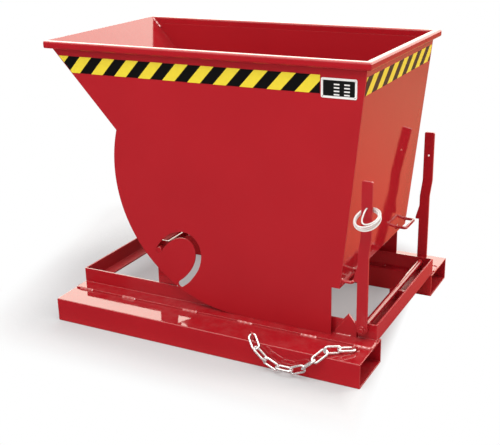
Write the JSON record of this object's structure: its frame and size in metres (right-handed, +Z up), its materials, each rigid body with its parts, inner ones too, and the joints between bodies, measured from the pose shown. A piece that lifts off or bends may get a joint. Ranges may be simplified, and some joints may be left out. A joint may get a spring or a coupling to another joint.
{
  "type": "tipping hopper",
  "caption": "Steel tipping hopper on a base with fork pockets: slotted side plates on rails and a guide bar, with latching levers on a cross shaft, a chain and a rope.",
  "frame": {"origin": "middle of the footprint on the ground", "axes": "+X to the rear, where the levers are, and along the fork pockets; the hopper pours towards -X; +Z up; left is -Y"},
  "size_m": [1.3759, 1.1096, 1.112],
  "materials": {
    "red_paint": "gloss",
    "zinc_steel": "satin",
    "hazard_tape": "satin",
    "type_plate": "satin",
    "rope": "matte"
  },
  "bodies": {
    "frame": {"fork_pocket_left": "red_paint", "fork_pocket_right": "red_paint", "side_rail_left": "red_paint", "side_rail_right": "red_paint", "front_beam": "red_paint", "rear_beam": "red_paint", "guide_bar": "red_paint", "guide_bar_bracket_left": "red_paint", "guide_bar_bracket_right": "red_paint", "locating_wedge": "red_paint", "shaft_bearing": "red_paint", "chain_eye_front": "red_paint", "chain_eye_rear": "red_paint", "safety_chain": "zinc_steel"},
    "hopper": {"side_plate_left": "red_paint", "side_plate_right": "red_paint", "front_sheet": "red_paint", "floor_sheet": "red_paint", "rear_wall": "red_paint", "rim_left": "red_paint", "rim_right": "red_paint", "rim_front": "red_paint", "rim_rear": "red_paint", "striker_loop_left": "red_paint", "striker_loop_right": "red_paint", "hazard_tape_left": "hazard_tape", "hazard_tape_right": "hazard_tape", "hazard_tape_rear": "hazard_tape", "type_plate": "type_plate", "type_plate_rivets": "type_plate"},
    "lever": {"release_lever_left": "red_paint", "release_lever_right": "red_paint", "cross_shaft": "red_paint", "shaft_collar_left": "red_paint", "shaft_collar_right": "red_paint", "lever_washer_left": "red_paint", "lever_washer_right": "red_paint", "lever_bolt_left": "red_paint", "lever_bolt_right": "red_paint", "release_rope": "rope", "rope_knot": "rope"}
  },
  "joints": [
    {"name": "tip", "type": "hinge", "parent": "frame", "child": "hopper", "pos_m": [-0.225, 0, 0.315], "axis": [0, -1, 0], "range_deg": [0, 78]},
    {"name": "release", "type": "hinge", "parent": "frame", "child": "lever", "pos_m": [0.624, 0, 0.141], "axis": [0, 1, 0], "range_deg": [-2.4, 25]}
  ]
}
